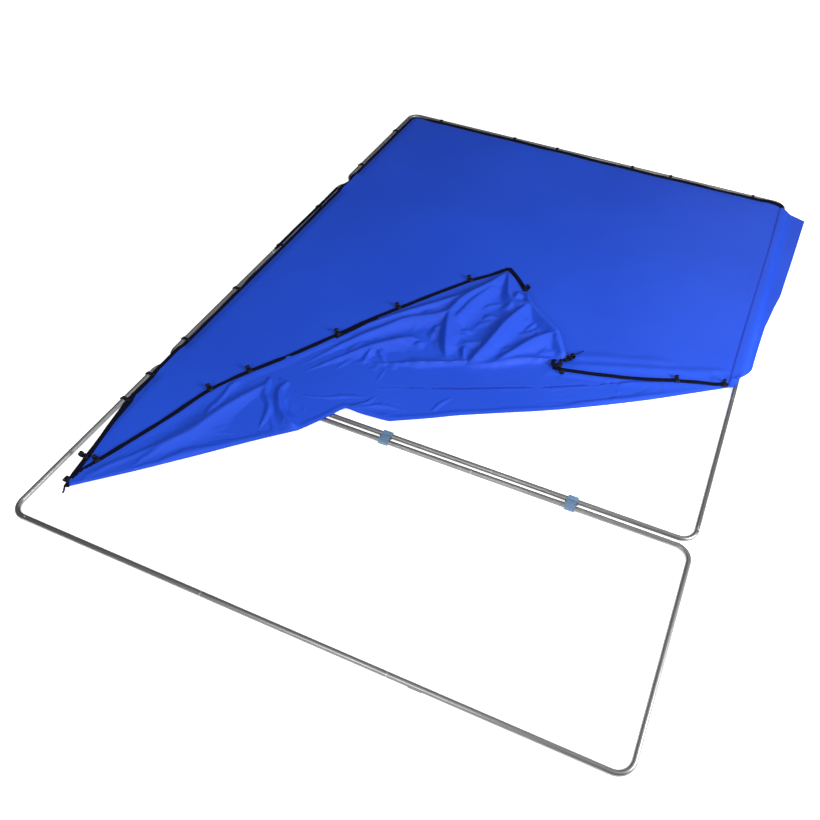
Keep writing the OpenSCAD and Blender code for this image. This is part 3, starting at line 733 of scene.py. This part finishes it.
def far_outline():
    lap_y = SEAM_Y - LAP
    far = OUTER_Y - EDGE_IN
    top = top_row(lap_y, far - 0.05)
    joined = [(x, lap_y) for x in sheet_rows()[1:] if x < skirt_x(lap_y) - 0.004]
    bend = [(EDGE_IN, far - 0.055), (EDGE_IN + 0.014, far - 0.014), (EDGE_IN + 0.055, far)]
    corner = resample(bend, 9)
    side = [(x, far) for x in np.arange(EDGE_IN + 0.08, PANEL_H - 0.09, 0.024)]
    tip = resample([(PANEL_H - 0.08, far)] + FAR_TIP, 24)
    ring = top + [tuple(p) for p in corner] + side + [tuple(p) for p in tip]
    ring += skirt_row(2.78, lap_y + 0.01)
    return ring + [(float(skirt_x(lap_y)), lap_y)] + joined[::-1]


def seam_distance(points):
    """Signed distance from the seam between cover and skirt, along the bottom tube."""
    wave = 0.004 * np.sin(points[:, 1] * 3.1 + 0.6)
    return points[:, 0] - (PANEL_H - 0.046 + 0.007 * points[:, 1]) - wave


def add_far_cover(material):
    points, faces = fill(far_outline(), sheet_rows(), FAR_STEP)
    lapped = ease(SEAM_Y + 0.004, SEAM_Y - 0.004, points[:, 1])
    z = cover_points_height(points) - LAP_DROP * lapped
    cover = make_mesh("cover_far", np.column_stack([points, z]), faces, points)
    cover.data.materials.append(material)
    set_seam(cover, seam_distance(points))
    return cover


def add_near_cover(material):
    """The near width of the cover with its corner turned back, joined along the fold."""
    base_points, base_faces = fill(near_outline(), sheet_rows(), COVER_STEP)
    base_z = cover_points_height(base_points)
    near_fold = 1 - edge_fade(base_points, [FOLD_POINTS], 0.03)
    base_z = base_z + 0.002 * near_fold
    points, faces, z, seam = folded_corner()
    count = len(base_points)
    all_points = np.vstack([np.column_stack([base_points, base_z]), np.column_stack([points, z])])
    all_faces = base_faces + [tuple(count + i for i in f[::-1]) for f in faces]
    cover = make_mesh("cover_near", all_points, all_faces, all_points[:, :2])
    cover.data.materials.append(material)
    set_seam(cover, np.concatenate([seam_distance(base_points), seam]))
    weld = bmesh.new()
    weld.from_mesh(cover.data)
    bmesh.ops.remove_doubles(weld, verts=[v for v in weld.verts if v.is_boundary], dist=0.0035)
    bmesh.ops.recalc_face_normals(weld, faces=weld.faces)
    weld.to_mesh(cover.data)
    weld.free()
    return cover


def corner_outline():
    near = resample(NEAR_HEM, 150)
    corner = resample(CORNER_HEM, 16)
    rolled = resample(ROLLED_EDGE, 50)
    end = resample(BAND_END, 7)
    band = resample(BAND_HEM, 70)
    ring = np.vstack([near, corner[1:], rolled[1:], end[1:], band[1:], FOLD_POINTS[::-1][1:-1]])
    return [tuple(p) for p in ring]


def folded_corner():
    """Plan points, triangles, heights and seam distances of the corner lying over the cover."""
    rows = np.arange(0.1, 2.9, FLAP_STEP * 0.8)
    points, faces = fill(corner_outline(), rows, FLAP_STEP)
    bed = cover_points_height(points)
    hems = [(NEAR_HEM, 60), (CORNER_HEM, 8), (BAND_HEM, 30), (BAND_END, 5)]
    hems = [resample(line, count) for line, count in hems]
    fade = edge_fade(points, hems, 0.05) * edge_fade(points, [FOLD_POINTS], 0.035)
    folds = crease_height(points, sharpen(CORNER_CREASES) + small_creases() + [SEAM_WELT])
    drift = 0.0022 * wander(points, 6.0, 8.0) + 0.0012 * wander(points, 17.0, 5.0)
    _, signed, over, _ = line_distance(points, CORNER_SEAM)
    on_fold = 1 - edge_fade(points, [FOLD_POINTS], 0.02)
    z = bed + FLAP_RISE - 0.0045 * on_fold + (folds + drift) * fade
    seam = np.where(over > 0.0, 0.05 + over, signed)
    hold = np.maximum(1 - fade, 0.5 * ease(0.012, 0.03, folds))
    moved = crumple(np.column_stack([points, z]), faces, hold, bed.min() + 0.004)
    points, z = moved[:, :2], moved[:, 2]
    return points, faces, z, seam


CLOTH_FRAMES = 24
CLOTH_EXTRA = 1.06      # the corner's cloth is cut this much larger than its place
LARGEST_SHIFT = 0.025
CLOTH_SETTINGS = {
    "quality": 5, "mass": 0.05, "tension_stiffness": 20, "compression_stiffness": 20,
    "shear_stiffness": 8, "bending_stiffness": 0.15, "air_damping": 3, "pin_stiffness": 1,
}


def crumple(points, faces, hold, bed_z):
    """Cloth simulation of the folded corner: a little larger than its place, it buckles and settles."""
    obj = make_mesh("corner_cloth", points, faces)
    obj.shape_key_add(name="laid")
    cut = obj.shape_key_add(name="cut")
    co = np.array([v.co for v in obj.data.vertices])
    middle = co.mean(0)
    grown = middle + (co - middle) * np.array([CLOTH_EXTRA, CLOTH_EXTRA, 1.0])
    cut.data.foreach_set("co", grown.ravel())
    group = obj.vertex_groups.new(name="hold")
    for i, weight in enumerate(hold):
        group.add([i], float(np.clip(weight, 0, 1)), "REPLACE")
    plane = bpy.data.meshes.new("bed")
    plane.from_pydata(square(4, bed_z), [], [(0, 1, 2, 3)])
    bed = add_object("bed", plane)
    bed.modifiers.new("collision", "COLLISION").settings.thickness_outer = 0.002
    cloth = obj.modifiers.new("cloth", "CLOTH")
    for name, value in CLOTH_SETTINGS.items():
        setattr(cloth.settings, name, value)
    cloth.settings.vertex_group_mass = "hold"
    cloth.settings.rest_shape_key = cut
    cloth.collision_settings.distance_min = 0.003
    cloth.collision_settings.use_self_collision = False
    cloth.settings.effector_weights.gravity = 0.6
    cloth.point_cache.frame_end = CLOTH_FRAMES
    for frame_number in range(1, CLOTH_FRAMES + 1):
        bpy.context.scene.frame_set(frame_number)
    graph = bpy.context.evaluated_depsgraph_get()
    done = obj.evaluated_get(graph).to_mesh()
    shift = np.array([v.co for v in done.vertices]) - co
    length = np.linalg.norm(shift, axis=1)[:, None]
    shift *= np.minimum(1, LARGEST_SHIFT / np.maximum(length, 1e-9))
    bpy.context.scene.frame_set(1)
    bpy.data.objects.remove(obj)
    bpy.data.objects.remove(bed)
    return co + shift - np.array([ORIGIN.x, ORIGIN.y, 0])


# ---- hems, hooks and small parts
def swept(path, width, thick, side=None, closed=False, around=10, squareness=0.55):
    """Points, faces and flat places of a strip with an oval section, swept along a row of points."""
    path = np.asarray(path, float)
    n = len(path)
    ahead = np.roll(path, -1, 0) - np.roll(path, 1, 0)
    if not closed:
        ahead[0], ahead[-1] = path[1] - path[0], path[-1] - path[-2]
    ahead /= np.linalg.norm(ahead, axis=1)[:, None]
    across = np.cross(ahead, (0, 0, 1)) if side is None else np.broadcast_to(side, path.shape)
    across = across / np.linalg.norm(across, axis=1)[:, None]
    up = np.cross(across, ahead)
    angles = np.arange(around) * 2 * math.pi / around
    c, v = np.cos(angles), np.sin(angles)
    shape = np.stack([np.sign(part) * np.abs(part) ** squareness / 2 for part in (c, v)], 1)
    width = np.broadcast_to(width, n)
    points = (path[:, None] + across[:, None] * (shape[:, 0] * width[:, None])[..., None]
              + up[:, None] * (shape[:, 1] * thick)[None, :, None]).reshape(-1, 3)
    run = np.concatenate([[0], np.cumsum(np.linalg.norm(np.diff(path, axis=0), axis=1))])
    flat = np.stack([np.repeat(run, around), (shape[:, 0] * width[:, None]).ravel()], 1)
    faces = []
    for i in range(n if closed else n - 1):
        j = (i + 1) % n
        for k in range(around):
            m = (k + 1) % around
            faces.append((i * around + k, i * around + m, j * around + m, j * around + k))
    if not closed:
        faces.append(tuple(range(around))[::-1])
        faces.append(tuple((n - 1) * around + k for k in range(around)))
    return points, faces, flat


def join_parts(name, parts, material):
    """One piece from several swept parts."""
    points, faces, flat, first = [], [], [], 0
    for part_points, part_faces, part_flat in parts:
        points.append(part_points)
        flat.append(part_flat)
        faces += [tuple(first + i for i in face) for face in part_faces]
        first += len(part_points)
    obj = make_mesh(name, np.vstack(points), faces, np.vstack(flat))
    obj.data.materials.append(material)
    return obj


def on_cover(line, rise):
    """A plan row laid on the stretched cover, raised by rise."""
    line = np.asarray(line, float)
    return np.column_stack([line, cover_points_height(line) + rise])


def worn_width(path, width, seed):
    """A hem's width along a path, gathered a little here and there."""
    return width * (1 + 0.12 * wander(np.asarray(path)[:, :2], 9.0, seed))


def hem_along(line, rise, seed, width=HEM_W):
    path = on_cover(line, rise)
    path[:, 2] += 0.0012 * wander(path[:, :2], 14.0, seed + 2)
    return swept(path, worn_width(path, width, seed), HEM_T)


def over_tube(y0, y1):
    """A stretch of elastic pulled up over the top tube, between two places along it."""
    y = np.arange(y0, y1 + 0.001, EDGE_STEP)
    path = np.column_stack([0.004 + 0.001 * np.sin(9 * y), y, np.full(len(y), 2 * TUBE_R + 0.001)])
    return swept(path, HEM_W * 0.8, HEM_T)


# Where the band's hem doubles back, the tail at the loose tip, and the drawn cord by the band
FOLDED_END = metres([(1950, 762, 47), (1930, 768, 50), (1922, 785, 50), (1924, 806, 46)])
TIP_TAIL = metres([(118, -852, 18), (118, -868, 12), (125, -882, 7), (129, -896, 5)])
LOOSE_CORD = metres([(1992, 860, 44), (2009, 882, 47), (2028, 914, 41), (2045, 946, 36)])


def add_hems(material):
    """The elastic hems: each lies inside its tube, or along the edge of the folded corner."""
    half = HEM_W / 2
    loose = resample(LOOSE_TOP_EDGE, 40)[:-1]
    held = resample(top_row(HELD_FROM_Y, SEAM_Y + 0.001, half), 130)
    top_near = np.vstack([loose, held])
    rise = -0.002 + 0.0045 * ease(-0.24, -0.36, top_near[:, 1])
    spread = 1.05 + 0.45 * np.exp(-((top_near[:, 1] + 0.34) / 0.11) ** 2)
    near = resample(NEAR_HEM, 210)
    doubled = near[(near[:, 0] > 0.74) & (near[:, 0] < 0.88)] + np.array([0.012, -0.008])
    parts = [
        hem_along(top_near, rise, 1.0, HEM_W * spread),
        over_tube(1.03, SEAM_Y),
        hem_along(near, FLAP_RISE, 4.0),
        hem_along(resample(CORNER_HEM, 22), FLAP_RISE + 0.003, 5.0, HEM_W * 1.15),
        hem_along(doubled, FLAP_RISE + 0.004, 6.0, HEM_W * 0.9),
        hem_along(resample(BAND_HEM, 80)[:-2], FLAP_RISE + 0.002, 7.0, HEM_W * 0.95),
        swept(resample(FOLDED_END, 14), 0.024, 0.007),
        swept(resample(TIP_TAIL, 12), 0.009, 0.002),
        swept(resample(LOOSE_CORD, 12), 0.004, 0.004),
    ]
    hem_near = join_parts("hem_near", parts, material)
    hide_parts("hem_left", "hem_centre")
    far = OUTER_Y - EDGE_IN + half - FAR_HEM_SHADE_SPREAD / 2
    rim = top_row(SEAM_Y, far - 0.06, half)
    bend = resample([(EDGE_IN - half, far - 0.05), (0.042, far - 0.014), (0.09, far)], 8)
    rim += [tuple(p) for p in bend]
    rim += [(x, far) for x in np.arange(0.12, PANEL_H - 0.1, 0.03)]
    (x0, y0), (x1, y1) = FAR_TIP[:2]
    rim = resample(rim + [(x0 - 0.005, y0 + half * 0.8), (x1, y1 + half * 0.4)], 330)
    bridge = np.exp(-((rim[:, 1] - RIGHT_PIVOT_Y) / 0.045) ** 2) * (rim[:, 0] < 0.1)
    rim[:, 0] += 0.25 * HEM_W * bridge
    along_far = ease(0.06, 0.2, rim[:, 0])
    # painted shade: along the far tube the black hem is widened over the shadowed gap beside the tube
    width = HEM_W * (1 - 0.5 * bridge) + FAR_HEM_SHADE_SPREAD * along_far
    parts = [hem_along(rim, -0.002 + 0.003 * along_far, 9.0, width), over_tube(SEAM_Y, 1.79)]
    hem_far = join_parts("hem_far", parts, material)
    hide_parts("hem_right")
    return hem_near, hem_far


HOOK_TAB_Z = COVER_Z - EDGE_DIP + 0.0022   # top of the hem beside a tube


def tube_hook(x, y, outward):
    """A moulded hook: a tab on the hem, then an open ring over the tube. outward is in the plan."""
    o = np.array(outward, float)
    along = np.array([-o[1], o[0], 0])
    ring = TUBE_R + 0.0022
    path = [(-0.036, HOOK_TAB_Z), (-0.027, HOOK_TAB_Z + 0.001), (-0.018, HOOK_TAB_Z + 0.001)]
    turn = np.radians(np.linspace(48, 168, 12))
    path += [(-ring * math.cos(a), TUBE_R + ring * math.sin(a)) for a in turn]
    path += [(ring + 0.004, TUBE_R + 0.0005), (ring + 0.0075, TUBE_R + 0.003)]
    points = np.array([(x + o[0] * u, y + o[1] * u, z) for u, z in resample(path, 30)])
    width = 0.021 - 0.004 * np.linspace(0, 1, len(points))
    return swept(points, width, 0.0036, side=along, squareness=0.4)


def loose_hook(x, y, z, outward, turn, size):
    """The same hook off its tube: a tab on the hem and an open ring that stands up from it."""
    o = np.array(outward, float)
    along = np.array([-o[1], o[0], 0])
    ring = (TUBE_R - 0.001) * size
    path = [(-0.014, 0.004), (-0.003, 0.0055), (0.006, 0.005)]
    start = math.radians(215)
    sweep = math.radians(turn)
    path += [
        (0.017 + ring * math.cos(start + sweep * t), 0.004 + ring + ring * math.sin(start + sweep * t))
        for t in np.linspace(0.04, 1, 20)
    ]
    points = np.array([(x + o[0] * u, y + o[1] * u, z + v) for u, v in path])
    width = np.linspace(0.028, 0.016, len(points))
    return swept(points, width, 0.005, side=along, squareness=0.4)


def away_from(line, point, inside):
    """Unit plan direction at a hem point, square to the hem and away from the cloth."""
    line = np.asarray(line, float)
    i = int(np.argmin(np.hypot(*(line - np.array(point)).T)))
    d = line[min(i + 2, len(line) - 1)] - line[max(i - 2, 0)]
    normal = np.array([-d[1], d[0]]) / np.hypot(*d)
    return normal if normal @ (np.array(point) - np.array(inside)) > 0 else -normal


def loose_hooks(places, line, inside):
    parts = []
    for x, y, turn, size in places:
        z = float(cover_points_height(np.array([[x, y]]))[0]) + FLAP_RISE
        parts.append(loose_hook(x, y, z, away_from(line, (x, y), inside), turn, size))
    return parts


def buckle(x, y, z):
    """The square slide buckle at the loose tip: a square loop with a bar across."""
    half, corner = 0.013, 0.003
    ring = []
    for k in range(4):
        mid = math.radians(45 + 90 * k)
        reach = (half - corner) * math.sqrt(2)
        cx, cy = reach * math.cos(mid), reach * math.sin(mid)
        for a in np.linspace(-45, 45, 5):
            angle = mid + math.radians(a)
            ring.append((x + cx + corner * math.cos(angle), y + cy + corner * math.sin(angle), z))
    bar = [(x - half, y, z + 0.001), (x, y, z + 0.0025), (x + half, y, z + 0.001)]
    wrap = [(x + 0.003, y - half * 0.8, z + 0.003), (x + 0.003, y + half * 0.8, z + 0.003)]
    return [
        swept(ring, 0.006, 0.005, closed=True),
        swept(resample(bar, 5), 0.006, 0.004),
        swept(resample(wrap, 6), 0.018, 0.004),
    ]


# Loose hooks along the folded corner's hems: x, y, degrees that the ring turns, size
FLAP_HOOKS = [
    (0.158, -0.695, 250, 0.8), (0.374, -0.115, 280, 0.9), (0.48, 0.074, 280, 0.9),
    (0.755, 0.512, 290, 1.0), (0.957, 0.847, 290, 1.0), (1.233, 1.245, 290, 1.0),
    (1.56, 1.305, 290, 1.0),
]
TANGLED_HOOKS = [(1.99, 0.862, 300, 1.1), (1.978, 0.84, 240, 0.9)]
BAND_HOOKS = [(1.958, 0.79, 200, 1.0), (2.573, 0.936, 260, 0.8), (2.815, 1.002, 220, 0.9)]


def add_hooks(material):
    """Moulded hooks: over the tubes where the cover is stretched, loose along the folded corner."""
    flap_middle = (1.2, 0.4)
    flap_hem = resample(NEAR_HEM + CORNER_HEM[1:], 230)
    band = resample(BAND_HEM, 80)
    rolled = resample(ROLLED_EDGE, 40)
    parts = {
        side: [tube_hook(0, y, (-1, 0)) for y in places] for side, places in TOP_HOOKS.items()
    }
    parts["left"] += loose_hooks(FLAP_HOOKS[:2], flap_hem, flap_middle)
    parts["left"] += loose_hooks([(0.094, -0.697, 300, 1.0)], resample(LOOSE_TOP_EDGE, 40), (1, 0))
    parts["left"] += buckle(0.107, -0.834, 0.024)
    parts["centre"] += loose_hooks(FLAP_HOOKS[2:], flap_hem, flap_middle)
    parts["centre"] += loose_hooks(BAND_HOOKS, band, (2.2, 0.5))
    parts["centre"] += loose_hooks([(1.985, 0.756, 260, 0.8)], band, (2.2, 1.5))
    parts["centre"] += loose_hooks(TANGLED_HOOKS, rolled, flap_middle)
    parts["right"] += [tube_hook(x, OUTER_Y, (0, 1)) for x in FAR_HOOKS]
    for side in ("left", "centre", "right"):
        piece = join_parts("hem_hooks_" + side, parts[side], material)
        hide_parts("hooks_" + side)
        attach(piece, side + "_panel")


def lathe(centre, along_y, profile, around=32):
    """Points and faces of a closed ring turned about a tube axis. profile is (along, radius) places."""
    points, faces, count = [], [], len(profile)
    for k in range(around):
        a = 2 * math.pi * k / around
        for s, r in profile:
            u, z = r * math.cos(a), centre[2] + r * math.sin(a)
            dx, dy = (u, s) if along_y else (s, u)
            points.append((centre[0] + dx, centre[1] + dy, z))
        for j in range(count):
            m, nxt = (j + 1) % count, (k + 1) % around
            faces.append((k * count + j, k * count + m, nxt * count + m, nxt * count + j))
    return np.array(points), faces, np.array(points)[:, :2]


SPIGOT = 0.055   # length of the neck by which a straight tube plugs into the next one


def add_joint_rings(material):
    """A rolled bead where one tube slips over the next, in paler metal than the tubes as a painted
    highlight.
    """
    bead = [(-0.004, TUBE_R - 0.0004), (-0.003, TUBE_R + 0.0003), (-0.001, TUBE_R + 0.0006),
            (0.001, TUBE_R + 0.0006), (0.003, TUBE_R + 0.0003), (0.004, TUBE_R - 0.0004)]
    groups = {"left": [], "centre": [], "right": []}
    for name in nodes:
        if not name.endswith(("middle_tube", "straight_tube")):
            continue
        low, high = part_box(name)
        along_y = high.y - low.y > high.x - low.x
        ends = (low.y, high.y - SPIGOT) if along_y else (low.x, high.x - SPIGOT)
        for end in ends:
            middle = (low + high) / 2 - ORIGIN
            middle.z = TUBE_R
            if along_y:
                middle.y = end - ORIGIN.y
            else:
                middle.x = end - ORIGIN.x
            groups[name.split("_")[0]].append(lathe(middle, along_y, bead))
    for side, parts in groups.items():
        if parts:
            piece = join_parts("joint_rings_" + side, parts, material)
            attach(piece, side + "_panel")


def main():
    add_camera()
    add_stage()
    finish_cad_nodes()
    # painted highlight: the bead is a paler grey metal than the tubes, standing in for the bright glint
    # at each joint
    bead_greys_with_painted_highlight = ((0.34, 0.34, 0.345), (0.46, 0.46, 0.465))
    add_joint_rings(moulded_material("joint_bead_painted_highlight", *bead_greys_with_painted_highlight, 0.35, metal=1.0))
    blacks = ((0.002, 0.0025, 0.007), (0.005, 0.006, 0.013))
    add_hooks(moulded_material("hook_plastic", *blacks, 0.5, spec=0.2))
    hems = add_hems(elastic_material())
    cloth = cloth_material()
    near = add_near_cover(cloth)
    far = add_far_cover(cloth)
    for cover in (near, far):
        add_solidify(cover, CLOTH_T)
    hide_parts("cover_left", "cover_centre", "fold_left", "fold_centre", "skirt_centre")
    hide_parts("cover_right", "skirt_right")
    for piece in (near, hems[0]):
        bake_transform(piece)
    for piece in (far, hems[1]):
        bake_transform(piece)


main()
